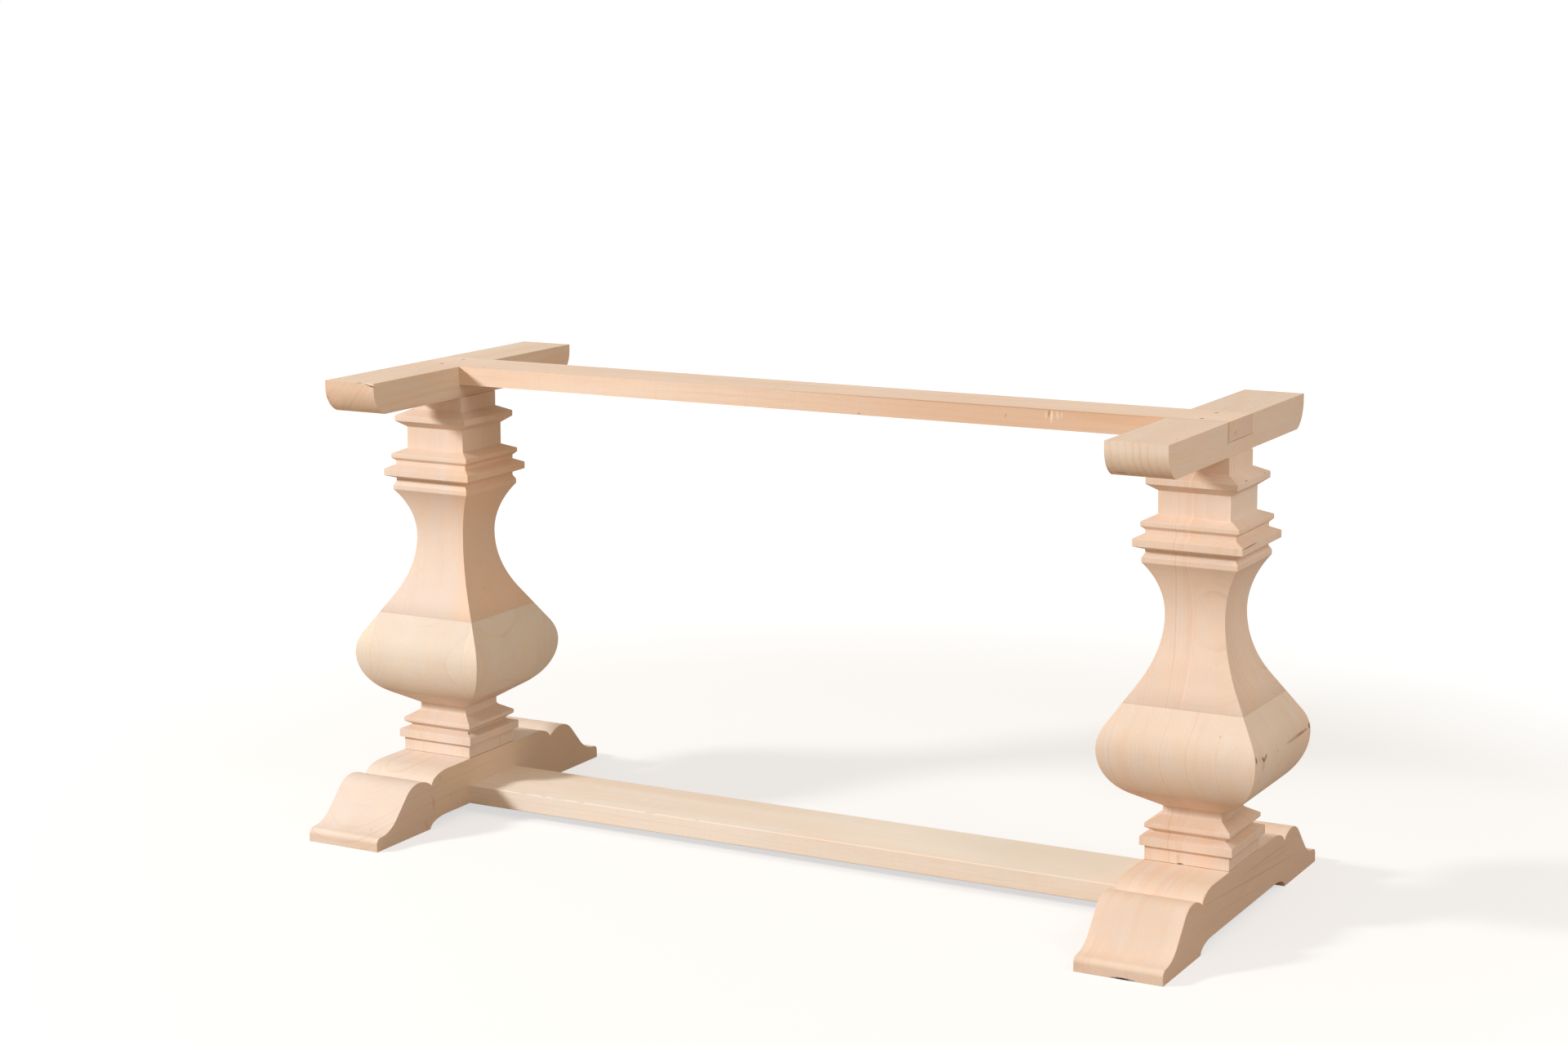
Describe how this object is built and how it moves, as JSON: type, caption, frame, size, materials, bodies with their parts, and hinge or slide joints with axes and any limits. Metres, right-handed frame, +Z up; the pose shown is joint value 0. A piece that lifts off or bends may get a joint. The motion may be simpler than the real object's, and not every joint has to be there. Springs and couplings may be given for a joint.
{
  "type": "trestle table base",
  "caption": "Twin-pedestal trestle table base in raw hardwood: square vase pedestals on sled feet, joined by a flat stretcher below and a rail let into cleats above.",
  "frame": {"origin": "on the floor, midway between the two pedestals", "axes": "+X along the stretcher, -Y towards the front, +Z up"},
  "size_m": [1.527, 0.636, 0.724],
  "materials": {
    "raw_maple": "sanded and unfinished",
    "screw_steel": "zinc plated",
    "dowel_birch": "unfinished"
  },
  "bodies": {
    "root": {"left_foot": "raw_maple", "right_foot": "raw_maple", "left_cleat": "raw_maple", "right_cleat": "raw_maple", "top_rail": "raw_maple", "bottom_stretcher": "raw_maple", "left_post_front_stave": "raw_maple", "left_post_rear_stave": "raw_maple", "right_post_inner_stave": "raw_maple", "right_post_outer_stave": "raw_maple", "left_post_front_cheek": "raw_maple", "left_post_rear_cheek": "raw_maple", "left_post_inner_cheek": "raw_maple", "left_post_outer_cheek": "raw_maple", "right_post_front_cheek": "raw_maple", "right_post_rear_cheek": "raw_maple", "right_post_inner_cheek": "raw_maple", "right_post_outer_cheek": "raw_maple", "foot_lag_screws": "screw_steel", "foot_washers": "screw_steel", "cleat_lag_screws": "screw_steel", "cleat_washers": "screw_steel", "rail_screws": "screw_steel", "stretcher_dowels": "dowel_birch"}
  },
  "joints": []
}
